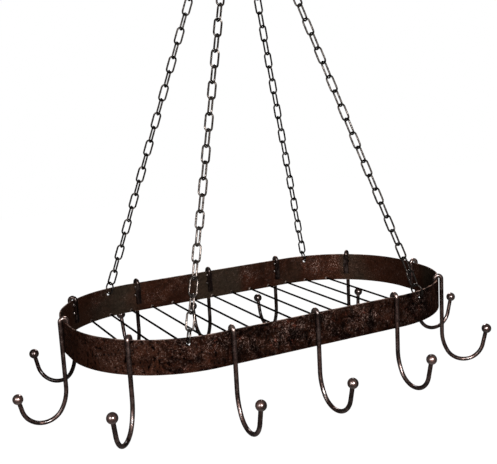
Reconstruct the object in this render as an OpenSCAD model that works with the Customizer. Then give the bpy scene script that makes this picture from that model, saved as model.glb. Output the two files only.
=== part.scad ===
// Hanging pot rack: a rounded-rectangle hoop with a rod grid, four chains and twelve welded hooks.
// Millimetres, +Z up, +X along the hoop; the origin is on the ceiling under the screw hook's shank.

/* [Hoop] */
// Outside length of the hoop, end to end
hoop_len = 762; // [600:1:900]
// Outside depth of the hoop, front to back
hoop_depth = 430; // [400:1:520]
// Height of the hoop's strip
hoop_h = 60; // [50:1:80]
// Thickness of the hoop's strip
hoop_t = 2.5; // [2:0.1:2.8]
// Outside radius of the hoop's corners
corner_r = 194; // [150:1:196]
// Diameter of each chain hole
hole_d = 7; // [6.8:0.1:8]
// Depth of the chain holes below the rim
hole_drop = 11.4; // [10:0.1:13]
// Angle of the chain holes round each corner arc, from the long side
hole_angle = 15; // [8:1:18]

/* [Grid] */
// Number of grid rods
rod_count = 13; // [7:1:15]
// Spacing of the grid rods
rod_pitch = 47.1; // [35:0.1:48]
// Diameter of the grid rods
rod_d = 4; // [3:0.1:4.8]
// Height of the grid rods' centres above the hoop's bottom edge
rod_rise = 4.4; // [3.5:0.1:8]
// Radius of the weld bead at each end of a grid rod
bead_r = 3.2; // [2.8:0.1:3.4]
// Length of the weld beads
bead_len = 2.5; // [2:0.1:4]

/* [Pot hooks] */
// Diameter of the round hook rod
hook_d = 8; // [7:0.1:8.2]
// Distance of a hook's straight leg from the hoop's outer face
leg_out = 5.8; // [5:0.1:6]
// Distance of a hook's inner leg from the hoop's outer face
leg_in = 7; // [6.9:0.1:7.4]
// Length of a hook's inner tail below the rim
tail_len = 44; // [34:1:47]
// Width of the flattened tail
tail_w = 10.5; // [9.5:0.1:11]
// Thickness of the flattened tail
tail_t = 4.5; // [4:0.1:5]
// Length of the tail that stays round, below the rim
tail_round = 6; // [4:0.5:7]
// Straight length of a hook's leg below the rim
leg_len = 105.5; // [90:0.5:130]
// Radius of the first, wide bend
sweep_r = 80; // [60:1:100]
// Angle of the first, wide bend
sweep_angle = 30; // [20:1:35]
// Radius of the round bottom bend
bowl_r = 38; // [30:1:45]
// Angle of the round bottom bend
bowl_angle = 137; // [125:1:140]
// Straight length from the bottom bend to the ball's centre
tip_len = 36; // [30:1:50]
// Extra diameter of the slight swell at each end of the bottom bend
bend_swell = 0.3; // [0.2:0.05:0.5]
// Diameter of the ball on each hook
ball_d = 19; // [16:0.5:22]
// Spacing of the hooks along each long side
hook_step = 168; // [130:1:176]
// Radius of a weld tack at the hoop's wall
tack_r = 2.6; // [2.2:0.1:2.8]
// Radius of a weld tack at its far end
tack_end_r = 1.6; // [1.4:0.1:1.8]
// Length of a weld tack, away from the wall
tack_len = 4.2; // [4:0.1:4.6]
// Distance of the weld tacks from the middle of the tail
tack_side = 5; // [4.6:0.1:5.4]
// Depth of the upper weld tack below the rim
tack_high = 10; // [9.5:0.5:12]
// Depth of the middle weld tack below the rim
tack_mid = 16.5; // [14:0.5:19]
// Depth of the lower weld tack below the rim
tack_low = 23; // [21:0.5:26]

/* [Chains] */
// Height of the gathering ring's lowest wire above the hoop's middle
chain_rise = 850; // [800:1:900]
// Number of links in each chain, odd so that both end links lie the same way
link_count = 31; // [31:2:33]
// Diameter of the link wire
link_wire = 3.5; // [3:0.1:3.6]
// Outside width of a link
link_w = 17; // [16.8:0.1:18]
// Diameter of the rim rings' wire
rim_wire = 3.2; // [2.8:0.1:3.3]
// Outside diameter of the rim rings
rim_ring_d = 27; // [26:0.5:30]

/* [Ceiling hardware] */
// Diameter of the gathering ring's wire
ring_wire = 6; // [5:0.1:6.2]
// Outside diameter of the gathering ring
ring_d = 56; // [54:1:64]
// Distance of the two middle chains from the ring's middle
inner_link_y = 4.2; // [4.1:0.1:4.6]
// Distance of the two outer chains from the ring's middle
outer_link_y = 10.4; // [10:0.1:11]
// Diameter of the screw hook's wire
screw_wire = 6.4; // [6.2:0.1:7]
// Diameter of the round end of the screw hook's wire
screw_end_d = 7.7; // [7.5:0.1:9]
// Diameter of the screw hook's shank
shank_d = 6; // [5:0.1:6]
// Length of the shank's straight part above the ceiling
shank_len = 27; // [20:1:40]
// Length of the shank's point
point_len = 8; // [5:0.5:12]
// Mean radius of the screw hook's bend
screw_r = 16; // [15:0.5:20]
// Length of the neck between the collar and the bend
neck_len = 7; // [4:0.5:15]
// Diameter of the collar under the ceiling
collar_d = 16; // [12:0.5:24]
// Thickness of the collar
collar_t = 2.5; // [2:0.1:4]

/* [Clearances] */
// Gap between parts that hang in each other
hang_gap = 0.3; // [0.25:0.01:0.3]
// Gap between neighbouring links
link_gap = 0.25; // [0.2:0.01:0.3]
// Height of a hook's arch centre below the rim
arch_drop = 0.85; // [0.7:0.01:0.86]
// Gap between a grid rod's end and the hoop's wall
weld_gap = 0.1; // [0.05:0.01:0.2]
// Gap between a weld tack and the hoop's wall
tack_gap = 0.3; // [0.28:0.01:0.4]
// Gap round a hook rod in its ball
socket_gap = 0.1; // [0.05:0.01:0.2]

/* [Hidden] */
$fn = 64;

// Heights of the hanging parts
screw_centre_z = -collar_t - neck_len - screw_r;
bight_z = screw_centre_z - screw_r;
ring_r = (ring_d - ring_wire) / 2;
ring_top_z = bight_z + (screw_wire + ring_wire) / 2 + hang_gap;
ring_centre_z = ring_top_z - ring_r;
ring_low_z = ring_centre_z - ring_r;
hoop_mid_z = ring_low_z - chain_rise;
rim_z = hoop_mid_z + hoop_h / 2;
foot_z = hoop_mid_z - hoop_h / 2;

// Corner arcs
corner_x = hoop_len / 2 - corner_r;
corner_y = hoop_depth / 2 - corner_r;

// Profile of a pot hook, outward from the hoop's face and up from the rim
arch_u = (leg_out - leg_in) / 2;
arch_r = (leg_out + leg_in) / 2;
sweep_u = leg_out + sweep_r;
bend_u = sweep_u - sweep_r * cos(sweep_angle);
bend_z = -leg_len - sweep_r * sin(sweep_angle);
bowl_u = bend_u + bowl_r * cos(sweep_angle);
bowl_z = bend_z + bowl_r * sin(sweep_angle);
turn = sweep_angle + bowl_angle;
tip_u = bowl_u - bowl_r * cos(turn);
tip_z = bowl_z - bowl_r * sin(turn);
tip_lean = 180 - turn;
seat_depth = ball_d * 0.1;

// Chain geometry
link_in_r = link_w / 2 - link_wire;
link_mid_r = (link_w - link_wire) / 2;
rim_ring_r = (rim_ring_d - rim_wire) / 2;
rim_ring_seat = (hole_d - rim_wire) / 2 - 0.85;
wall_r = corner_r - hoop_t / 2;

// Spots on the rim: X, Y and the direction that the wall faces there
function arc_spot(sx, sy, facing) = [
    sx * corner_x + corner_r * cos(facing),
    sy * corner_y + corner_r * sin(facing),
    facing
];
function side_spot(x, sy) = abs(x) <= corner_x
    ? [x, sy * hoop_depth / 2, sy * 90]
    : arc_spot(sign(x), sy, sy * (90 - sign(x) * asin((abs(x) - corner_x) / corner_r)));
function end_spot(sx, y) = abs(y) <= corner_y
    ? [sx * hoop_len / 2, y, 90 - sx * 90]
    : arc_spot(sx, sign(y), 90 - sx * 90 + sx * sign(y) * asin((abs(y) - corner_y) / corner_r));

// Name, spot, turn, extra leg length and extra tip length of every hand-bent pot hook
HOOKS = [
    ["front_mid", side_spot(2.5, -1), 6.1, -0.5, -3.1],
    ["front_right", side_spot(hook_step + 5.1, -1), 3.6, -4.9, 0.2],
    ["corner_front_right", arc_spot(1, -1, -44), 14.2, 4.3, -2.8],
    ["end_right", end_spot(1, -11.5), -5.8, -10.3, -1],
    ["corner_back_right", arc_spot(1, 1, 45.6), -5.4, 6.9, -7.1],
    ["back_right", side_spot(hook_step - 3.4, 1), 1.1, 4.4, -4.5],
    ["back_mid", side_spot(-5.2, 1), 1.2, 0, 0],
    ["back_left", side_spot(-hook_step - 3.7, 1), 5.3, -5.4, 5.7],
    ["corner_back_left", arc_spot(-1, 1, 135.4), 6.1, 1.9, -8.5],
    ["end_left", end_spot(-1, 18.5), -2.8, 15, -12.5],
    ["corner_front_left", arc_spot(-1, -1, -133.8), 4.3, -7, -1.5],
    ["front_left", side_spot(-hook_step + 7.7, -1), -1.3, -1.9, -2.2]
];

// Side signs and place on the gathering ring of every chain
CHAINS = [
    ["front_left", -1, -1, -outer_link_y],
    ["front_right", 1, -1, -inner_link_y],
    ["back_left", -1, 1, inner_link_y],
    ["back_right", 1, 1, outer_link_y]
];

// Arc of round wire in the XZ plane
module wire_arc(u, z, radius, wire, from, sweep) {
    translate([u, 0, z])
        rotate([90, 0, 0])
            rotate([0, 0, from])
                rotate_extrude(angle = sweep)
                    translate([radius, 0])
                        circle(d = wire);
}

// Screw hook that holds the rack under the ceiling
module ceiling_hook() {
    open_from = 150;
    bend = 300;
    color([0.13, 0.11, 0.1]) {
        cylinder(d = shank_d, h = shank_len);
        translate([0, 0, shank_len])
            cylinder(d1 = shank_d, d2 = shank_d / 6, h = point_len);
        translate([0, 0, -collar_t])
            cylinder(d = collar_d, h = collar_t);
        translate([0, 0, screw_centre_z + screw_r])
            cylinder(d = shank_d, h = neck_len + collar_t);
        wire_arc(0, screw_centre_z, screw_r, screw_wire, open_from, bend);
        translate([screw_r * cos(open_from), 0, screw_centre_z + screw_r * sin(open_from)])
            sphere(d = screw_end_d);
    }
}

// Ring that gathers the four chains
module gather_ring() {
    color([0.13, 0.11, 0.1])
        translate([0, 0, ring_centre_z])
            rotate([0, 90, 0])
                rotate_extrude()
                    translate([ring_r, 0])
                        circle(d = ring_wire);
}

// Plain strip hoop, before its chain holes
module hoop_wall() {
    side_len = 2 * corner_x;
    end_len = 2 * corner_y;
    for (sy = [-1, 1])
        translate([-corner_x, sy * (hoop_depth / 2 - hoop_t / 2) - hoop_t / 2, foot_z])
            cube([side_len, hoop_t, hoop_h]);
    for (sx = [-1, 1])
        translate([sx * (hoop_len / 2 - hoop_t / 2) - hoop_t / 2, -corner_y, foot_z])
            cube([hoop_t, end_len, hoop_h]);
    for (quarter = [[1, 1, 0], [-1, 1, 90], [-1, -1, 180], [1, -1, 270]])
        translate([quarter[0] * corner_x, quarter[1] * corner_y, foot_z])
            rotate([0, 0, quarter[2]])
                rotate_extrude(angle = 90)
                    translate([corner_r - hoop_t, 0])
                        square([hoop_t, hoop_h]);
}

// Hoop with one hole for each chain
module hoop() {
    color([0.14, 0.1, 0.08])
        difference() {
            hoop_wall();
            for (c = CHAINS)
                translate(hole_point(c))
                    rotate([0, 0, wall_facing(c)])
                        rotate([0, 90, 0])
                            cylinder(d = hole_d, h = 4 * hoop_t, center = true);
        }
}

// Direction that the wall faces at a chain hole
function wall_facing(c) = atan2(c[2] * cos(hole_angle), c[1] * sin(hole_angle));

// Middle of a chain hole, halfway through the wall
function hole_point(c) = [
    c[1] * (corner_x + wall_r * sin(hole_angle)),
    c[2] * (corner_y + wall_r * cos(hole_angle)),
    rim_z - hole_drop
];

// Half length of the space inside the hoop at a given place along it
function inside_reach(x) = abs(x) <= corner_x
    ? hoop_depth / 2 - hoop_t
    : corner_y + sqrt(pow(corner_r - hoop_t, 2) - pow(abs(x) - corner_x, 2));

// Half of a grid rod with its weld bead, standing on its middle; past is how far it runs beyond its reach
module half_rod(reach, past) {
    cone_len = bead_len * 0.6;
    cylinder(d = rod_d, h = reach + past);
    translate([0, 0, reach - bead_len])
        cylinder(r1 = rod_d / 2, r2 = bead_r, h = cone_len);
    translate([0, 0, reach - bead_len + cone_len])
        cylinder(r = bead_r, h = bead_len - cone_len + past);
}

// One rod of the grid: its ends are flat at the straight walls and cut to the curve at the corner arcs
module grid_rod(k) {
    rod_x = (k - (rod_count + 1) / 2) * rod_pitch;
    reach = inside_reach(rod_x) - weld_gap;
    side = rod_x < 0 ? -1 : 1;
    past_wall = 2 * bead_r;
    color([0.1, 0.09, 0.08])
        for (sy = [-1, 1])
            if (abs(rod_x) <= corner_x)
                translate([rod_x, 0, foot_z + rod_rise])
                    rotate([-90 * sy, 0, 0])
                        half_rod(reach, 0);
            else
                intersection() {
                    translate([rod_x, 0, foot_z + rod_rise])
                        rotate([-90 * sy, 0, 0])
                            half_rod(reach, past_wall);
                    translate([side * corner_x, sy * corner_y, foot_z])
                        cylinder(r = corner_r - hoop_t - weld_gap, h = hoop_h, $fn = 256);
                }
}

// Chain line: from the chain hole to the gathering ring's wire
function ring_point(c) = [0, c[3], ring_centre_z - sqrt(ring_r * ring_r - c[3] * c[3])];
function chain_vector(c) = ring_point(c) - hole_point(c);
function chain_azimuth(c) = atan2(chain_vector(c)[1], chain_vector(c)[0]);
function chain_polar(c) = acos(chain_vector(c)[2] / norm(chain_vector(c)));

// Turn about the chain line that faces a part along a horizontal direction
function chain_roll(c, facing) = atan2(
    -cos(chain_polar(c)) * cos(facing - chain_azimuth(c)),
    sin(facing - chain_azimuth(c))
);

// Start of the first link's lower arc and of the last link's upper arc, along the chain line
function chain_start() = rim_ring_seat + 2 * rim_ring_r + link_in_r - rim_wire / 2 - hang_gap;
function chain_end(c) = norm(chain_vector(c)) - link_in_r + ring_wire / 2 + hang_gap;
function link_pitch(c) = (chain_end(c) - chain_start() + 2 * link_in_r - link_gap) / link_count;

// One welded link, standing on its lower arc's centre
module chain_link(straight) {
    wire_arc(0, 0, link_mid_r, link_wire, 180, 180);
    wire_arc(0, straight, link_mid_r, link_wire, 0, 180);
    for (sx = [-1, 1])
        translate([sx * link_mid_r, 0, 0])
            cylinder(d = link_wire, h = straight);
}

// One chain of separate links, alternately turned
module chain(c) {
    pitch = link_pitch(c);
    straight = pitch + link_gap - 2 * link_in_r;
    color([0.2, 0.18, 0.16])
        translate(hole_point(c))
            rotate([0, chain_polar(c), chain_azimuth(c)])
                for (i = [0 : link_count - 1])
                    translate([0, 0, chain_start() + i * pitch])
                        rotate([0, 0, chain_roll(c, 90) + 90 * (i % 2)])
                            chain_link(straight);
}

// Ring through a chain hole and over the rim
module rim_ring(c) {
    color([0.2, 0.18, 0.16])
        translate(hole_point(c))
            rotate([0, chain_polar(c), chain_azimuth(c)])
                rotate([0, 0, chain_roll(c, wall_facing(c)) + 90])
                    translate([0, 0, rim_ring_seat + rim_ring_r])
                        rotate([90, 0, 0])
                            rotate_extrude()
                                translate([rim_ring_r, 0])
                                    circle(d = rim_wire);
}

// Puts a hook's parts at its spot on the rim, facing the way that the wall faces
module at_rim(h) {
    translate([h[1][0], h[1][1], rim_z])
        rotate([0, 0, h[1][2]])
            children();
}

// Puts a hook's parts at its spot on the rim, with the hook's own turn about its arch
module at_hook(h) {
    at_rim(h)
        translate([arch_u, 0, 0])
            rotate([0, 0, h[2]])
                translate([-arch_u, 0, 0])
                    children();
}

// Weld tacks between a hook's tail and the hoop's inner face: two on one side of it, one on the other
module weld_tacks(h) {
    tail_side = -arch_r * sin(h[2]);
    for (tack = [[1, tack_high], [1, tack_low], [-1, tack_mid]])
        translate([-hoop_t - tack_gap, tail_side + tack[0] * tack_side, -tack[1]])
            rotate([0, -90, 0])
                cylinder(r1 = tack_r, r2 = tack_end_r, h = tack_len);
}

// Leg, bends and tip of a pot hook
module hook_rod(h) {
    own_leg = leg_len + h[3];
    translate([leg_out, 0, -own_leg])
        cylinder(d = hook_d, h = own_leg - arch_drop);
    translate([0, 0, -h[3]]) {
        wire_arc(sweep_u, -leg_len, sweep_r, hook_d, 180, sweep_angle);
        wire_arc(bowl_u, bowl_z, bowl_r, hook_d, 180 + sweep_angle, bowl_angle);
        translate([tip_u, 0, tip_z])
            rotate([0, tip_lean, 0])
                cylinder(d = hook_d, h = tip_len + h[4] + seat_depth);
        translate([bend_u, 0, bend_z])
            rotate([0, -sweep_angle, 0])
                sphere(d = hook_d + bend_swell);
        translate([tip_u, 0, tip_z])
            rotate([0, tip_lean, 0])
                sphere(d = hook_d + bend_swell);
    }
}

// One pot hook: flattened tail with its weld tacks, arch over the rim, leg, bends and tip
module pot_hook(h) {
    color([0.12, 0.09, 0.085]) {
        at_rim(h)
            weld_tacks(h);
        at_hook(h) {
            intersection() {
                translate([-leg_in, 0, -tail_len])
                    cylinder(d = tail_w, h = tail_len - tail_round + hook_d / 2);
                translate([-leg_in - tail_t / 2, -tail_w, -tail_len])
                    cube([tail_t, 2 * tail_w, tail_len]);
            }
            translate([-leg_in, 0, -tail_round])
                cylinder(d = hook_d, h = tail_round - arch_drop);
            wire_arc(arch_u, -arch_drop, arch_r, hook_d, 0, 180);
            hook_rod(h);
        }
    }
}

// Ball fixed on the tip of a hook
module hook_ball(h) {
    color([0.13, 0.1, 0.095])
        at_hook(h)
            translate([tip_u, 0, tip_z - h[3]])
                rotate([0, tip_lean, 0])
                    translate([0, 0, tip_len + h[4]])
                        difference() {
                            sphere(d = ball_d);
                            translate([0, 0, -ball_d])
                                cylinder(d = hook_d + 2 * socket_gap, h = ball_d + seat_depth + socket_gap);
                        }
}

ceiling_hook();
gather_ring();
hoop();
for (k = [1 : rod_count])
    grid_rod(k);
for (c = CHAINS)
    chain(c);
for (c = CHAINS)
    rim_ring(c);
for (h = HOOKS)
    pot_hook(h);
for (h = HOOKS)
    hook_ball(h);
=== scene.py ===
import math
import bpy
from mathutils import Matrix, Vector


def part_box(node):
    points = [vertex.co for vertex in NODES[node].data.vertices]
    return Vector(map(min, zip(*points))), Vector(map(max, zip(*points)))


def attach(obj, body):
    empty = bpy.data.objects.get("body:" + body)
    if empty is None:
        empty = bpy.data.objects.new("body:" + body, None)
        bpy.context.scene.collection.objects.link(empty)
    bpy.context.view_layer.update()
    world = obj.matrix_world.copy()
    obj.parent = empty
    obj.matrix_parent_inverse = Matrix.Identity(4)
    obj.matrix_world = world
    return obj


bl_info = {
    "name": "Hanging pot rack",
    "version": (1, 0, 0),
    "blender": (4, 5, 0),
    "location": "3D View > Sidebar > Pot Rack",
    "description": "Finishes, weld details and photo stage for a hanging pot rack",
    "category": "Object",
}

import bpy
from bpy.props import FloatProperty, FloatVectorProperty, PointerProperty
from mathutils import Vector

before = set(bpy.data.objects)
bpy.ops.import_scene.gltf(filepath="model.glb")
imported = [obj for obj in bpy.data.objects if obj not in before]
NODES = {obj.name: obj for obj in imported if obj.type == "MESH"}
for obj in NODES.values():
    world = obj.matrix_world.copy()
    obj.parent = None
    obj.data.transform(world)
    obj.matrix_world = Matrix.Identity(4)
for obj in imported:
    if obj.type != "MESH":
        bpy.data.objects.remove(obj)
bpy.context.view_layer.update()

HOOK_NODES = sorted(name for name in NODES if name.startswith("hook_"))
BALL_NODES = sorted(name for name in NODES if name.startswith("ball_"))
ROD_NODES = sorted(name for name in NODES if name.startswith("grid_rod_"))

# Sizes of the solids, in metres
HOOP_LOW, HOOP_HIGH = (Vector(corner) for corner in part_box("hoop"))
CORNER_R = 0.194
WALL_T = 0.0025
LINKS_PER_CHAIN = 31
TACK_PITCH = 0.0065
SHANK_R = 0.003

# A point of a hook's mesh is on a tack's foot if it is this near the wall and this far below the rim
FOOT_GAP = 0.0006
ARCH_DROP = 0.005
# Half length of a tack's bead as a share of its radius
BEAD_FLAT = 0.85

# The thread starts and ends at these heights on the shank, and its roots are sunk into it
THREAD_FROM, THREAD_TO = 0.002, 0.025
THREAD_SUNK = 0.0003
THREAD_STEPS = 24
# Half width of the thread's foot in pitches, and its tip's width as a share of the foot's
THREAD_FOOT = 0.32
THREAD_TIP = 0.2

# How light each row of hooks looks: the back row's darker bronze is painted shade
ROW_PAINTED_SHADE = {"front": 1.0, "back": 0.4}
# Painted light and shade on each chain's lighter tones: front_left lit up, the others darkened
CHAIN_PAINTED_LIGHT = {"front_left": 1.5, "front_right": 0.6, "back_left": 0.6, "back_right": 0.35}

# Balls have fewer forging marks than hooks, paler metal and more wax; the ring has still fewer marks
BALL_FORGED, BALL_GAIN, BALL_WAX = 0.4, 2.2, 2.7
RING_FORGED = 0.3
WAX_ROUGHNESS, WAX_IOR = 0.17, 2.0
ROD_SHEEN, ROD_RELIEF = 0.05, 0.5

# Where the hoop's smooth ends begin and where they are smooth all over, along X; the end towards negative X
# also gets painted light over the same span
ENDS_FROM, ENDS_FULL = HOOP_HIGH.x - 0.13, HOOP_HIGH.x - 0.03
# The hoop's foot has few specks up to the first height above its lower edge, and all from the second
FOOT_PLAIN, FOOT_MOTTLED = 0.004, 0.030
# The hoop's edges are worn and carry a painted highlight up to the first distance from the edge, and no
# longer at the second
EDGE_WEAR_AND_HIGHLIGHT_FULL, EDGE_WEAR_AND_HIGHLIGHT_NONE = 0.0002, 0.0009
# The grid rods are burnt up to the first depth behind the hoop's outer face, and no longer at the second
BURN_FULL, BURN_NONE = WALL_T + 0.0028, WALL_T + 0.0050
# The hooks' arches get a painted highlight from the first height up, and fully from the second
ARCH_FROM, ARCH_FULL = HOOP_HIGH.z - 0.002, HOOP_HIGH.z + 0.004
# Depth of each finish's relief at full strength
FORGED_DEPTH = 0.0016
SCALE_DEPTH = 0.0004
WIRE_DEPTH = 0.0005

# Turn of the photo's camera about X, Y and Z, in degrees
CAMERA_TURN = (79.8812, 3.0759, -27.6048)

# Place and disc width of each lamp, in metres
KEY_PLACE, KEY_WIDTH = (-0.50, -1.80, -0.30), 0.5
FILL_PLACE, FILL_WIDTH = (-1.9, -1.2, -0.2), 1.2
EDGE_PLACE, EDGE_WIDTH = (1.2, 2.0, 0.6), 1.2
FLOOR_WIDTH = 60.0
WHITE = (1.0, 1.0, 1.0, 1.0)


def wall_depth(x, y):
    """Distance of a point from the hoop's outer face, positive inside the hoop."""
    over_x = abs(x) - (HOOP_HIGH.x - CORNER_R)
    over_y = abs(y) - (HOOP_HIGH.y - CORNER_R)
    return CORNER_R - math.hypot(max(over_x, 0.0), max(over_y, 0.0)) - min(max(over_x, over_y), 0.0)


def wall_outward(x, y):
    """Horizontal direction that the hoop's wall faces near a point."""
    over_x = max(abs(x) - (HOOP_HIGH.x - CORNER_R), 0.0)
    over_y = max(abs(y) - (HOOP_HIGH.y - CORNER_R), 0.0)
    return Vector((math.copysign(over_x, x), math.copysign(over_y, y), 0.0)).normalized()


# ---------------------------------------------------------------- shader kit


class Signal:
    """A number that varies over a surface; arithmetic on it adds Math nodes."""

    def __init__(self, paint, socket):
        self.paint = paint
        self.socket = socket

    def _math(self, operation, *values):
        node = self.paint.node("ShaderNodeMath", {"operation": operation}, dict(enumerate(values)))
        return Signal(self.paint, node.outputs[0])

    def __add__(self, other):
        return self._math("ADD", self, other)

    def __radd__(self, other):
        return self._math("ADD", other, self)

    def __sub__(self, other):
        return self._math("SUBTRACT", self, other)

    def __rsub__(self, other):
        return self._math("SUBTRACT", other, self)

    def __mul__(self, other):
        return self._math("MULTIPLY", self, other)

    def __truediv__(self, other):
        return self._math("DIVIDE", self, other)

    def __pow__(self, other):
        return self._math("POWER", self, other)

    def __abs__(self):
        return self._math("ABSOLUTE", self)

    def above_zero(self):
        return self._math("MAXIMUM", self, 0.0)

    def clamped(self):
        return self._math("MAXIMUM", self._math("MINIMUM", self, 1.0), 0.0)

    def step(self, low, high):
        """Rises from 0 at low to 1 at high."""
        return ((self - low) / (high - low)).clamped()


class Paint:
    """One procedural material, built round a Principled shader."""

    def __init__(self, name, **constants):
        self.material = bpy.data.materials.new(name)
        self.material.use_nodes = True
        self.tree = self.material.node_tree
        self.shader = next(n for n in self.tree.nodes if n.type == "BSDF_PRINCIPLED")
        self.place = self.node("ShaderNodeTexCoord").outputs["Object"]
        for socket, value in constants.items():
            self.shader.inputs[socket.replace("_", " ")].default_value = value

    def node(self, kind, settings=None, inputs=None):
        """Adds a node: its settings first, then values or links for its sockets."""
        node = self.tree.nodes.new(kind)
        for key, value in (settings or {}).items():
            setattr(node, key, value)
        for key, value in (inputs or {}).items():
            self.feed(node.inputs[key], value)
        return node

    def feed(self, socket, value):
        if isinstance(value, Signal):
            value = value.socket
        if isinstance(value, bpy.types.NodeSocket):
            self.tree.links.new(value, socket)
        else:
            socket.default_value = value

    def noise(self, scale, detail=4.0, roughness=0.55, distortion=0.0, place=None):
        """Cloudy pattern; a higher scale makes it finer."""
        node = self.node("ShaderNodeTexNoise", {}, {
            "Vector": place or self.place,
            "Scale": scale,
            "Detail": detail,
            "Roughness": roughness,
            "Distortion": distortion,
        })
        return Signal(self, node.outputs["Fac"])

    def cells(self, scale):
        """Rounded bumps side by side, like hammer marks."""
        node = self.node(
            "ShaderNodeTexVoronoi", {"feature": "SMOOTH_F1"}, {"Vector": self.place, "Scale": scale})
        return Signal(self, node.outputs["Distance"])

    def stretched(self, x, y, z):
        """Object coordinates scaled by its own factor along each axis."""
        return self.node("ShaderNodeMapping", {}, {"Vector": self.place, "Scale": (x, y, z)}).outputs[0]

    def axis(self, letter):
        """One object coordinate."""
        node = self.node("ShaderNodeSeparateXYZ", {}, {"Vector": self.place})
        return Signal(self, node.outputs[letter])

    def wall_depth(self):
        """Distance from the hoop's outer face, positive inside the hoop."""
        over_x = (abs(self.axis("X")) - (HOOP_HIGH.x - CORNER_R)).above_zero()
        over_y = (abs(self.axis("Y")) - (HOOP_HIGH.y - CORNER_R)).above_zero()
        return CORNER_R - (over_x * over_x + over_y * over_y) ** 0.5

    def blend(self, factor, first, second):
        """Mixes two colours; the factor may vary."""
        node = self.node("ShaderNodeMix", {"data_type": "RGBA"}, {0: factor, 6: first, 7: second})
        return node.outputs[2]

    def bump(self, height, strength, distance):
        """Roughens the surface by a height, at full strength as deep as the distance."""
        node = self.node("ShaderNodeBump", {}, {"Height": height, "Strength": strength, "Distance": distance})
        self.feed(self.shader.inputs["Normal"], node.outputs[0])

    def finish(self, colour, roughness, metallic=None):
        """Feeds the shader and gives back the finished material."""
        self.feed(self.shader.inputs["Base Color"], colour)
        self.feed(self.shader.inputs["Roughness"], roughness)
        if metallic is not None:
            self.feed(self.shader.inputs["Metallic"], metallic)
        return self.material


def rgba(colour, gain=1.0):
    """A colour with full alpha, made lighter or darker by a gain."""
    return (colour[0] * gain, colour[1] * gain, colour[2] * gain, 1.0)


# ---------------------------------------------------------------- finishes


def hoop_finish(look):
    """Oil-rubbed bronze with rusty patches, pale mottling, a worn rim partly painted as a highlight, and
    painted light on the end towards negative X.
    """
    paint = Paint("hoop_bronze", Specular_IOR_Level=look.sheen, Specular_Tint=rgba(look.edge))
    broad = paint.noise(9.0, 3.0, 0.6, 0.4)
    patches = paint.noise(30.0, 5.0, 0.62, 0.9).step(0.42, 0.64)
    mottle = paint.noise(380.0, 5.0, 0.66, 0.3)
    fine = paint.noise(950.0, 3.0, 0.6)
    grains = (mottle * 0.6 + fine * 0.4).step(0.53, 0.61)
    inner = paint.wall_depth().step(WALL_T * 0.4, WALL_T * 0.6)
    wiped = paint.noise(7.0, 2.0, 0.5, 0.3, paint.stretched(1.0, 1.0, 0.45)).step(0.44, 0.58) * inner
    ends = abs(paint.axis("X")).step(ENDS_FROM, ENDS_FULL)
    # Painted light: the end towards negative X is made redder and lighter, as if lit from that side
    painted_light_left = (0.0 - paint.axis("X")).step(ENDS_FROM, ENDS_FULL)
    redness = (patches * (0.3 + broad * 0.9) + inner * 0.5 + ends * 0.35 + painted_light_left * 0.45).clamped()
    colour = paint.blend(redness, rgba(look.dark), rgba(look.rust))
    colour = paint.blend(wiped * 0.75, colour, rgba(look.olive))
    bare = (1.0 - inner * 0.5) * (1.0 - wiped * 0.6) * (1.0 - ends * 0.55)
    colour = hoop_specks(paint, look, colour, grains * (0.3 + patches * 0.8) * bare)
    colour = hoop_dents(paint, look, colour, 1.0 - inner * 0.6)
    # Pale rim and foot: partly real wear, partly a painted highlight along the edges
    worn = hoop_wear_and_edge_highlight(paint)
    colour = paint.blend(worn * 0.7, colour, rgba(look.worn))
    paint.bump(mottle * 0.6 + paint.cells(150.0) * 0.4 + fine * 0.2, look.relief, FORGED_DEPTH)
    return paint.finish(colour, 0.52 - grains * 0.14 - worn * 0.12 + broad * 0.06, 0.7 + worn * 0.2)


def hoop_specks(paint, look, ground, amount):
    """Lays clouds of pale and red specks over the ground, fewer at the hoop's foot."""
    clouds = paint.noise(13.0, 3.0, 0.6, 0.8).step(0.44, 0.60)
    clear_foot = 0.3 + paint.axis("Z").step(HOOP_LOW.z + FOOT_PLAIN, HOOP_LOW.z + FOOT_MOTTLED) * 0.7
    red = paint.noise(62.0, 4.0, 0.7, 0.5).step(0.53, 0.62)
    speck = paint.blend(red, rgba(look.speck), rgba(look.red))
    return paint.blend((amount * (0.3 + clouds) * clear_foot).clamped(), ground, speck)


def hoop_dents(paint, look, ground, amount):
    """Darkens pits and thin veins in the ground."""
    pits = paint.noise(190.0, 2.0, 0.5).step(0.56, 0.66)
    veins = 1.0 - abs(paint.noise(26.0, 5.0, 0.65, 0.6) - 0.5).step(0.004, 0.035)
    return paint.blend((pits * 0.85 + veins * 0.55).clamped() * amount, ground, rgba(look.dark, 0.3))


def hoop_wear_and_edge_highlight(paint):
    """Scuffs along the hoop's upper edge, and fainter ones along its lower edge, partly real wear and partly
    a painted highlight.
    """
    height_up = paint.axis("Z")
    scuffs = paint.noise(60.0, 3.0, 0.7).step(0.40, 0.62)
    rim = height_up.step(HOOP_HIGH.z - EDGE_WEAR_AND_HIGHLIGHT_NONE, HOOP_HIGH.z - EDGE_WEAR_AND_HIGHLIGHT_FULL)
    foot = 1.0 - height_up.step(HOOP_LOW.z + EDGE_WEAR_AND_HIGHLIGHT_FULL, HOOP_LOW.z + EDGE_WEAR_AND_HIGHLIGHT_NONE)
    return ((rim + foot * 0.6) * scuffs).clamped()


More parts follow.
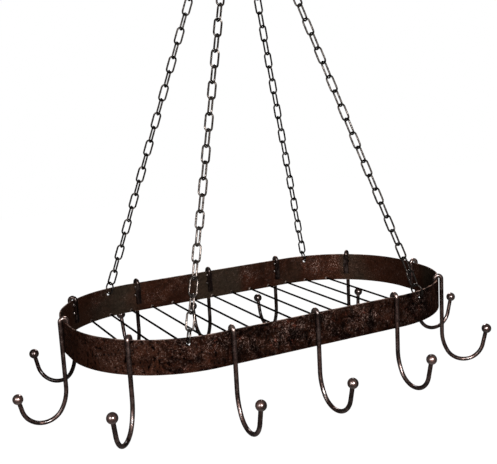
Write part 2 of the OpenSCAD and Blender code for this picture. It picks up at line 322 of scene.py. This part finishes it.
def rod_finish(look):
    """Blackened bar, burnt pale near its welds."""
    paint = Paint("rod_black", Specular_IOR_Level=ROD_SHEEN, Specular_Tint=rgba(look.edge))
    scale = paint.noise(240.0, 4.0, 0.6)
    streaks = paint.noise(40.0, 4.0, 0.6, 0.2, paint.stretched(8.0, 1.0, 8.0)).step(0.5, 0.72)
    colour = paint.blend(streaks * 0.4, rgba(look.dark, 0.5), rgba(look.rust))
    colour = paint.blend(scale.step(0.62, 0.74) * 0.25, colour, rgba(look.speck))
    weld = 1.0 - paint.wall_depth().step(BURN_FULL, BURN_NONE)
    colour = paint.blend(weld * scale.step(0.35, 0.6) * 0.8, colour, rgba(look.worn))
    paint.bump(scale, ROD_RELIEF, SCALE_DEPTH)
    return paint.finish(colour, 0.5 + scale * 0.2 - weld * 0.15, 0.7)


def hook_finish(look, name, forged=1.0, gain=1.0, wax=1.0):
    """Forged bar: waxed dark bronze with long drawn marks, rubbed places and a painted highlight on the tops
    of the arches.
    """
    paint = Paint(
        name, Specular_IOR_Level=look.sheen, Specular_Tint=rgba(look.edge),
        Coat_Weight=look.coat * wax, Coat_Roughness=WAX_ROUGHNESS, Coat_IOR=WAX_IOR)
    drawn = paint.noise(26.0, 4.0, 0.6, 0.3, paint.stretched(3.0, 3.0, 0.8))
    skin = paint.noise(210.0, 5.0, 0.62)
    rubbed = paint.noise(70.0, 3.0, 0.6, 0.5).step(0.50, 0.68)
    flecks = paint.noise(520.0, 3.0, 0.6).step(0.56, 0.68)
    pale = rgba(look.speck, min(gain, 1.0))
    # The gain scales the colours: the balls' gain pales them, and the back row's lower gain is painted shade
    colour = paint.blend(drawn.step(0.38, 0.66), rgba(look.dark, gain), rgba(look.rust, gain))
    colour = paint.blend(rubbed * 0.45, colour, rgba(look.worn, gain ** 0.5))
    colour = paint.blend(flecks * (0.22 + rubbed * 0.5), colour, pale)
    # Painted highlight: the tops of the arches are lightened, patchier where rubbed
    arch_highlight = paint.axis("Z").step(ARCH_FROM, ARCH_FULL)
    colour = paint.blend(arch_highlight * (0.25 + rubbed * 0.6), colour, pale)
    soot = paint.noise(120.0, 4.0, 0.7, 0.5).step(0.50, 0.62) * forged
    colour = paint.blend(soot * 0.8, colour, rgba(look.dark, 0.3))
    paint.bump(drawn * 0.9 * forged + skin * 0.22, look.relief, FORGED_DEPTH)
    return paint.finish(colour, 0.34 - rubbed * 0.06 + skin * 0.1 + soot * 0.15 - arch_highlight * 0.08, 0.9)


def chain_finish(look, name, painted_light=1.0):
    """Drawn-wire links: grey bronze, bright where the links rub; a gain per chain lightens or darkens the
    lighter tones as painted light and shade.
    """
    paint = Paint(name, Specular_IOR_Level=look.sheen)
    tarnish = paint.noise(55.0, 4.0, 0.6, 0.4)
    wire = paint.noise(420.0, 4.0, 0.6)
    rubbed = paint.noise(130.0, 3.0, 0.6, 0.2).step(0.48, 0.66)
    # Painted light and shade: the gain scales the lighter tones of each chain
    colour = paint.blend(tarnish.step(0.36, 0.66), rgba(look.dark), rgba(look.rust, painted_light))
    colour = paint.blend(rubbed * 0.55, colour, rgba(look.worn, painted_light))
    colour = paint.blend(wire.step(0.58, 0.72) * 0.4, colour, rgba(look.speck, painted_light))
    paint.bump(wire * 0.5 + tarnish * 0.5, look.relief, WIRE_DEPTH)
    return paint.finish(colour, 0.26 - rubbed * 0.06 + wire * 0.1, 0.85)


def dress(names, material):
    """Gives CAD nodes a material in place of their plain one."""
    for name in names:
        slots = NODES[name].data.materials
        slots.clear()
        slots.append(material)


# ---------------------------------------------------------------- modelling


def pick(*pieces):
    """Selects these pieces alone, the first one active."""
    bpy.ops.object.select_all(action="DESELECT")
    for piece in pieces:
        piece.select_set(True)
    bpy.context.view_layer.objects.active = pieces[0]


def settle(piece, material, body):
    """Puts the finished piece's place in its mesh and rides it on its body."""
    pick(piece)
    bpy.ops.object.transform_apply(location=True, rotation=True, scale=True)
    bpy.ops.object.shade_smooth_by_angle(angle=math.radians(35))
    piece.data.materials.clear()
    piece.data.materials.append(material)
    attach(piece, body)


def bead(name, place, along, radius, half_len):
    """Adds a small weld bead, stretched along a direction."""
    bpy.ops.mesh.primitive_uv_sphere_add(segments=16, ring_count=10, radius=radius, location=place)
    piece = bpy.context.object
    piece.name = name
    piece.scale = (1.0, 1.0, half_len / radius)
    piece.rotation_euler = along.to_track_quat("Z", "Y").to_euler()
    return piece


def joined(pieces, name):
    """Joins pieces into one, named after the whole."""
    pick(*pieces)
    bpy.ops.object.join()
    pieces[0].name = name
    return pieces[0]


# ---------------------------------------------------------------- properties


class PotRackHoopLook(bpy.types.PropertyGroup):
    dark: FloatVectorProperty(
        name="Bronze", description="Dark ground colour of the hoop",
        subtype="COLOR", min=0, max=1, default=(0.0034, 0.0013, 0.0008))
    red: FloatVectorProperty(
        name="Red specks", description="Rust red of some grains",
        subtype="COLOR", min=0, max=1, default=(0.40, 0.11, 0.075))
    rust: FloatVectorProperty(
        name="Rust", description="Reddish brown of the patches",
        subtype="COLOR", min=0, max=1, default=(0.037, 0.0130, 0.0072))
    olive: FloatVectorProperty(
        name="Wiped metal", description="Grey olive of the wiped places on the inner face",
        subtype="COLOR", min=0, max=1, default=(0.030, 0.023, 0.016))
    speck: FloatVectorProperty(
        name="Mottle", description="Pale grains of the mottled finish",
        subtype="COLOR", min=0, max=1, default=(0.60, 0.41, 0.35))
    worn: FloatVectorProperty(
        name="Worn edge", description="Bare metal where the edges are rubbed",
        subtype="COLOR", min=0, max=1, default=(0.42, 0.32, 0.28))
    edge: FloatVectorProperty(
        name="Edge tint", description="Tint of the metal where it is seen at a slant",
        subtype="COLOR", min=0, max=1, default=(0.10, 0.055, 0.045))
    relief: FloatProperty(
        name="Relief", description="Strength of the hammered surface", default=0.85, min=0, max=1)
    sheen: FloatProperty(name="Sheen", description="Specular level of the finish", default=0.06, min=0, max=1)


class PotRackBarLook(bpy.types.PropertyGroup):
    dark: FloatVectorProperty(
        name="Bronze", description="Dark colour of the forged bar",
        subtype="COLOR", min=0, max=1, default=(0.016, 0.0078, 0.0062))
    rust: FloatVectorProperty(
        name="Warm tone", description="Warmer tone along the bar",
        subtype="COLOR", min=0, max=1, default=(0.095, 0.053, 0.044))
    speck: FloatVectorProperty(
        name="Fleck", description="Pale flecks in the finish",
        subtype="COLOR", min=0, max=1, default=(0.44, 0.31, 0.27))
    worn: FloatVectorProperty(
        name="Rubbed", description="Colour of the rubbed places",
        subtype="COLOR", min=0, max=1, default=(0.28, 0.20, 0.178))
    edge: FloatVectorProperty(
        name="Edge tint", description="Tint of the metal where it is seen at a slant",
        subtype="COLOR", min=0, max=1, default=(0.22, 0.14, 0.12))
    relief: FloatProperty(
        name="Relief", description="Strength of the forged surface", default=0.5, min=0, max=1)
    coat: FloatProperty(
        name="Wax", description="Weight of the clear wax over the bar", default=0.36, min=0, max=1)
    sheen: FloatProperty(name="Sheen", description="Specular level of the finish", default=0.1, min=0, max=1)


class PotRackChainLook(bpy.types.PropertyGroup):
    dark: FloatVectorProperty(
        name="Tarnish", description="Dark colour of the links",
        subtype="COLOR", min=0, max=1, default=(0.010, 0.0075, 0.0065))
    rust: FloatVectorProperty(
        name="Bronze", description="Lighter bronze of the links",
        subtype="COLOR", min=0, max=1, default=(0.045, 0.036, 0.031))
    speck: FloatVectorProperty(
        name="Fleck", description="Pale flecks in the finish",
        subtype="COLOR", min=0, max=1, default=(0.26, 0.22, 0.20))
    worn: FloatVectorProperty(
        name="Rubbed", description="Colour of the rubbed places",
        subtype="COLOR", min=0, max=1, default=(0.16, 0.135, 0.12))
    relief: FloatProperty(
        name="Relief", description="Strength of the wire's surface", default=0.4, min=0, max=1)
    sheen: FloatProperty(name="Sheen", description="Specular level of the finish", default=0.5, min=0, max=1)


class PotRackWeldLook(bpy.types.PropertyGroup):
    dark: FloatVectorProperty(
        name="Burnt", description="Dark burnt metal round the weld",
        subtype="COLOR", min=0, max=1, default=(0.06, 0.045, 0.04))
    rust: FloatVectorProperty(
        name="Bead", description="Metal of the weld bead",
        subtype="COLOR", min=0, max=1, default=(0.30, 0.25, 0.23))
    speck: FloatVectorProperty(
        name="Spatter", description="Bright spatter on the bead",
        subtype="COLOR", min=0, max=1, default=(0.60, 0.55, 0.52))
    worn: FloatVectorProperty(
        name="Bare", description="Bare bright metal of the bead",
        subtype="COLOR", min=0, max=1, default=(0.50, 0.45, 0.42))
    relief: FloatProperty(
        name="Relief", description="Strength of the bead's ripples", default=0.6, min=0, max=1)
    sheen: FloatProperty(name="Sheen", description="Specular level of the finish", default=0.5, min=0, max=1)


class PotRackDetailSizes(bpy.types.PropertyGroup):
    thread_pitch: FloatProperty(
        name="Thread pitch", description="Pitch of the screw hook's thread",
        unit="LENGTH", default=0.0026, min=0.001, max=0.005)
    thread_depth: FloatProperty(
        name="Thread height", description="Height of the thread above the shank",
        unit="LENGTH", default=0.0007, min=0.0002, max=0.0015)
    link_wire: FloatProperty(
        name="Link wire", description="Diameter of the chain links' wire",
        unit="LENGTH", default=0.0035, min=0.002, max=0.005)
    tack_r: FloatProperty(
        name="Tack bead radius", description="Radius of the weld beads beside the hooks' tails",
        unit="LENGTH", default=0.0030, min=0.002, max=0.004)
    tack_out: FloatProperty(
        name="Tack bead reach", description="Distance of the weld beads' middles from the tacks' feet",
        unit="LENGTH", default=0.0016, min=0.0005, max=0.004)
    weld_len: FloatProperty(
        name="Link weld length", description="Length of the weld swelling on a link's side",
        unit="LENGTH", default=0.0042, min=0.002, max=0.008)
    weld_swell: FloatProperty(
        name="Link weld swelling", description="Height of the weld swelling on a link's side",
        unit="LENGTH", default=0.00035, min=0.0001, max=0.001)


class PotRackStageLook(bpy.types.PropertyGroup):
    eye: FloatVectorProperty(
        name="Camera place", description="Place of the camera",
        subtype="TRANSLATION", unit="LENGTH", default=(-0.72314, -1.39605, -0.50929))
    sensor: FloatProperty(name="Sensor width", description="Width of the camera's sensor in mm", default=36.0)
    lens: FloatProperty(name="Lens", description="Focal length in mm", default=59.46)
    floor_z: FloatProperty(
        name="Floor height", description="Height of the floor under the ceiling",
        unit="LENGTH", default=-5.0)
    room: FloatProperty(
        name="Room light", description="Strength of the even light of the room", default=0.07, min=0)
    key: FloatProperty(
        name="Key light", description="Power of the main soft light", unit="POWER", default=54.0, min=0)
    fill: FloatProperty(
        name="Fill light", description="Power of the second soft light", unit="POWER", default=25.0, min=0)
    rim: FloatProperty(
        name="Edge light", description="Power of the light behind", unit="POWER", default=50.0, min=0)


class PotRackSettings(bpy.types.PropertyGroup):
    hoop: PointerProperty(type=PotRackHoopLook)
    bar: PointerProperty(type=PotRackBarLook)
    chain: PointerProperty(type=PotRackChainLook)
    weld: PointerProperty(type=PotRackWeldLook)
    detail: PointerProperty(type=PotRackDetailSizes)
    stage: PointerProperty(type=PotRackStageLook)


# ---------------------------------------------------------------- operators


class POTRACK_OT_hoop(bpy.types.Operator):
    """Gives the hoop its mottled bronze"""

    bl_idname = "pot_rack.hoop"
    bl_label = "Finish hoop"

    def execute(self, context):
        dress(["hoop"], hoop_finish(context.scene.pot_rack.hoop))
        return {"FINISHED"}


class POTRACK_OT_grid(bpy.types.Operator):
    """Gives the grid rods their blackened finish"""

    bl_idname = "pot_rack.grid"
    bl_label = "Finish grid rods"

    def execute(self, context):
        dress(ROD_NODES, rod_finish(context.scene.pot_rack.hoop))
        return {"FINISHED"}


class POTRACK_OT_hooks(bpy.types.Operator):
    """Gives the pot hooks and their balls a forged bronze, darker on the back row as painted shade"""

    bl_idname = "pot_rack.hooks"
    bl_label = "Finish pot hooks"

    def execute(self, context):
        look = context.scene.pot_rack.bar
        # The back row gets a darker copy of the bronze and less wax, as painted shade
        for row, shade in ROW_PAINTED_SHADE.items():
            hooks = [name for name in HOOK_NODES if ("back" in name) == (row == "back")]
            balls = [name for name in BALL_NODES if ("back" in name) == (row == "back")]
            hook_bronze = hook_finish(look, row + "_hook_bronze", gain=shade, wax=shade)
            ball_bronze = hook_finish(
                look, row + "_ball_bronze", forged=BALL_FORGED, gain=BALL_GAIN * shade, wax=BALL_WAX * shade)
            dress(hooks, hook_bronze)
            dress(balls, ball_bronze)
        return {"FINISHED"}


class POTRACK_OT_tacks(bpy.types.Operator):
    """Lays a bright weld bead over every tack between a hook's tail and the hoop"""

    bl_idname = "pot_rack.tacks"
    bl_label = "Weld the hooks"

    def execute(self, context):
        settings = context.scene.pot_rack
        material = chain_finish(settings.weld, "weld_bright")
        for name in HOOK_NODES:
            beads = [self.lay(place, settings.detail) for place in self.places(NODES[name])]
            settle(joined(beads, "weld_" + name), material, "rack")
        return {"FINISHED"}

    def places(self, hook):
        """Centres of the tacks' flat feet, next to the hoop's inner face."""
        feet = {}
        for vertex in hook.data.vertices:
            spot = hook.matrix_world @ vertex.co
            gap = wall_depth(spot.x, spot.y) - WALL_T
            drop = HOOP_HIGH.z - spot.z
            if 0.0 < gap < FOOT_GAP and drop > ARCH_DROP:
                feet.setdefault(round(drop / TACK_PITCH), []).append(spot)
        return [sum(spots, Vector()) / len(spots) for spots in feet.values()]

    def lay(self, foot, sizes):
        """Adds one bead that stands out from the wall at a tack's foot."""
        inward = -wall_outward(foot.x, foot.y)
        place = foot + inward * sizes.tack_out
        return bead("tack_bead", place, inward, sizes.tack_r, sizes.tack_r * BEAD_FLAT)


class POTRACK_OT_chains(bpy.types.Operator):
    """Gives the chains and rim rings their worn bronze, with painted light or shade on each chain"""

    bl_idname = "pot_rack.chains"
    bl_label = "Finish chains"

    def execute(self, context):
        settings = context.scene.pot_rack
        for corner, painted_light in CHAIN_PAINTED_LIGHT.items():
            material = chain_finish(settings.chain, "chain_bronze_" + corner, painted_light)
            dress(["chain_" + corner, "rim_ring_" + corner], material)
            self.weld_links(corner, settings.detail, material)
        return {"FINISHED"}

    def weld_links(self, corner, sizes, material):
        """Adds the swelling where each link's wire is closed, halfway along one side."""
        chain = NODES["chain_" + corner]
        spots = [chain.matrix_world @ vertex.co for vertex in chain.data.vertices]
        per_link = len(spots) // LINKS_PER_CHAIN
        links = [spots[start:start + per_link] for start in range(0, len(spots), per_link)]
        middles = [sum(link, Vector()) / len(link) for link in links]
        along = (middles[-1] - middles[0]).normalized()
        beads = []
        for link, middle in zip(links, middles):
            aside = [spot - middle - along * (spot - middle).dot(along) for spot in link]
            widest = max(aside, key=lambda offset: offset.length)
            place = middle + widest.normalized() * (widest.length - sizes.link_wire / 2)
            swollen = sizes.link_wire / 2 + sizes.weld_swell
            beads.append(bead("link_bead", place, along, swollen, sizes.weld_len / 2))
        settle(joined(beads, "link_welds_" + corner), material, "rack")


class POTRACK_OT_ceiling(bpy.types.Operator):
    """Finishes the ring and screw hook and cuts the screw's thread"""

    bl_idname = "pot_rack.ceiling"
    bl_label = "Finish ceiling hardware"

    def execute(self, context):
        settings = context.scene.pot_rack
        material = hook_finish(settings.bar, "hanging_bronze", forged=RING_FORGED)
        dress(["ceiling_hook", "gather_ring"], material)
        self.cut_thread(settings.detail, material)
        return {"FINISHED"}

    def cut_thread(self, sizes, material):
        """Winds the thread's section up the shank, its roots hidden in the solid."""
        root = SHANK_R - THREAD_SUNK
        crest = SHANK_R + sizes.thread_depth
        half = sizes.thread_pitch * THREAD_FOOT
        tip = half * THREAD_TIP
        bpy.ops.mesh.primitive_plane_add(size=1.0, location=(0, 0, 0))
        piece = bpy.context.object
        piece.name = "shank_thread"
        section = ((root, -half), (crest, -tip), (root, half), (crest, tip))
        for vertex, (out, up) in zip(piece.data.vertices, section):
            vertex.co = (out, 0.0, THREAD_FROM + half + up)
        screw = piece.modifiers.new("thread", "SCREW")
        screw.axis = "Z"
        screw.steps = screw.render_steps = THREAD_STEPS
        screw.screw_offset = sizes.thread_pitch
        screw.iterations = int((THREAD_TO - THREAD_FROM - 2 * half) / sizes.thread_pitch)
        screw.use_normal_calculate = True
        pick(piece)
        bpy.ops.object.modifier_apply(modifier=screw.name)
        bpy.ops.object.mode_set(mode="EDIT")
        bpy.ops.mesh.select_all(action="SELECT")
        bpy.ops.mesh.remove_doubles(threshold=0.000001)
        bpy.ops.mesh.normals_make_consistent(inside=False)
        bpy.ops.object.mode_set(mode="OBJECT")
        settle(piece, material, "ceiling_mount")


class POTRACK_OT_stage(bpy.types.Operator):
    """Sets the floor, lights, world and camera"""

    bl_idname = "pot_rack.stage"
    bl_label = "Set the stage"

    def execute(self, context):
        stage = context.scene.pot_rack.stage
        self.set_floor(stage)
        self.set_world(context.scene, stage)
        aim = Vector((0.0, 0.0, (HOOP_LOW.z + HOOP_HIGH.z) / 2))
        self.add_light("key_light", KEY_PLACE, aim, KEY_WIDTH, stage.key)
        self.add_light("fill_light", FILL_PLACE, aim, FILL_WIDTH, stage.fill)
        self.add_light("edge_light", EDGE_PLACE, aim, EDGE_WIDTH, stage.rim)
        self.set_camera(context.scene, stage)
        context.scene.view_settings.view_transform = "Standard"
        return {"FINISHED"}

    def set_floor(self, stage):
        """A floor that the camera sees as white."""
        bpy.ops.mesh.primitive_plane_add(size=FLOOR_WIDTH, location=(0, 0, stage.floor_z))
        floor = bpy.context.object
        floor.name = "floor"
        pick(floor)
        bpy.ops.object.mode_set(mode="EDIT")
        bpy.ops.mesh.subdivide(number_cuts=3)
        bpy.ops.object.mode_set(mode="OBJECT")
        bpy.ops.object.transform_apply(location=True)
        paint = Paint("floor_white", Specular_IOR_Level=0.1)
        dust = paint.noise(3.0)
        paint.finish(paint.blend(dust * 0.5, rgba(WHITE, 0.86), rgba(WHITE, 0.9)), 0.8 + dust * 0.1)
        ray = paint.node("ShaderNodeLightPath")
        glow = paint.node("ShaderNodeEmission", {}, {"Color": WHITE, "Strength": 1.0})
        pale = paint.node("ShaderNodeBsdfDiffuse", {}, {"Color": rgba(WHITE, 0.4)})
        seen = paint.node("ShaderNodeAddShader", {}, {0: glow.outputs[0], 1: pale.outputs[0]})
        mix = paint.node("ShaderNodeMixShader", {}, {
            0: ray.outputs["Is Camera Ray"],
            1: paint.shader.outputs[0],
            2: seen.outputs[0],
        })
        output = next(n for n in paint.tree.nodes if n.type == "OUTPUT_MATERIAL")
        paint.feed(output.inputs["Surface"], mix.outputs[0])
        floor.data.materials.append(paint.material)

    def set_world(self, scene, stage):
        """A dim even room that the camera sees as white."""
        world = bpy.data.worlds.new("studio")
        scene.world = world
        world.use_nodes = True
        tree = world.node_tree
        tree.nodes.clear()
        ray = tree.nodes.new("ShaderNodeLightPath")
        mix = tree.nodes.new("ShaderNodeMixShader")
        output = tree.nodes.new("ShaderNodeOutputWorld")
        tree.links.new(ray.outputs["Is Camera Ray"], mix.inputs[0])
        for slot, strength in ((1, stage.room), (2, 1.0)):
            background = tree.nodes.new("ShaderNodeBackground")
            background.inputs["Color"].default_value = WHITE
            background.inputs["Strength"].default_value = strength
            tree.links.new(background.outputs[0], mix.inputs[slot])
        tree.links.new(mix.outputs[0], output.inputs["Surface"])

    def add_light(self, name, place, aim, width, power):
        bpy.ops.object.light_add(type="AREA", location=place)
        lamp = bpy.context.object
        lamp.name = name
        lamp.data.shape = "DISK"
        lamp.data.size = width
        lamp.data.energy = power
        lamp.rotation_euler = (Vector(place) - aim).to_track_quat("Z", "Y").to_euler()

    def set_camera(self, scene, stage):
        bpy.ops.object.camera_add()
        camera = bpy.context.object
        camera.name = "photo_camera"
        camera.data.sensor_fit = "HORIZONTAL"
        camera.data.sensor_width = stage.sensor
        camera.data.lens = stage.lens
        camera.location = stage.eye
        camera.rotation_euler = [math.radians(angle) for angle in CAMERA_TURN]
        scene.camera = camera


class POTRACK_PT_panel(bpy.types.Panel):
    """Buttons that finish the pot rack"""

    bl_label = "Pot Rack"
    bl_idname = "POTRACK_PT_panel"
    bl_space_type = "VIEW_3D"
    bl_region_type = "UI"
    bl_category = "Pot Rack"

    def draw(self, context):
        for operator in OPERATORS:
            self.layout.operator(operator.bl_idname)


OPERATORS = (
    POTRACK_OT_stage,
    POTRACK_OT_hoop,
    POTRACK_OT_grid,
    POTRACK_OT_hooks,
    POTRACK_OT_tacks,
    POTRACK_OT_chains,
    POTRACK_OT_ceiling,
)
CLASSES = (
    PotRackHoopLook,
    PotRackBarLook,
    PotRackChainLook,
    PotRackWeldLook,
    PotRackDetailSizes,
    PotRackStageLook,
    PotRackSettings,
    *OPERATORS,
    POTRACK_PT_panel,
)


def register():
    for item in CLASSES:
        bpy.utils.register_class(item)
    bpy.types.Scene.pot_rack = PointerProperty(type=PotRackSettings)


def unregister():
    del bpy.types.Scene.pot_rack
    for item in reversed(CLASSES):
        bpy.utils.unregister_class(item)


def main():
    register()
    for operator in OPERATORS:
        group, name = operator.bl_idname.split(".")
        getattr(getattr(bpy.ops, group), name)()


if __name__ == "__main__":
    main()
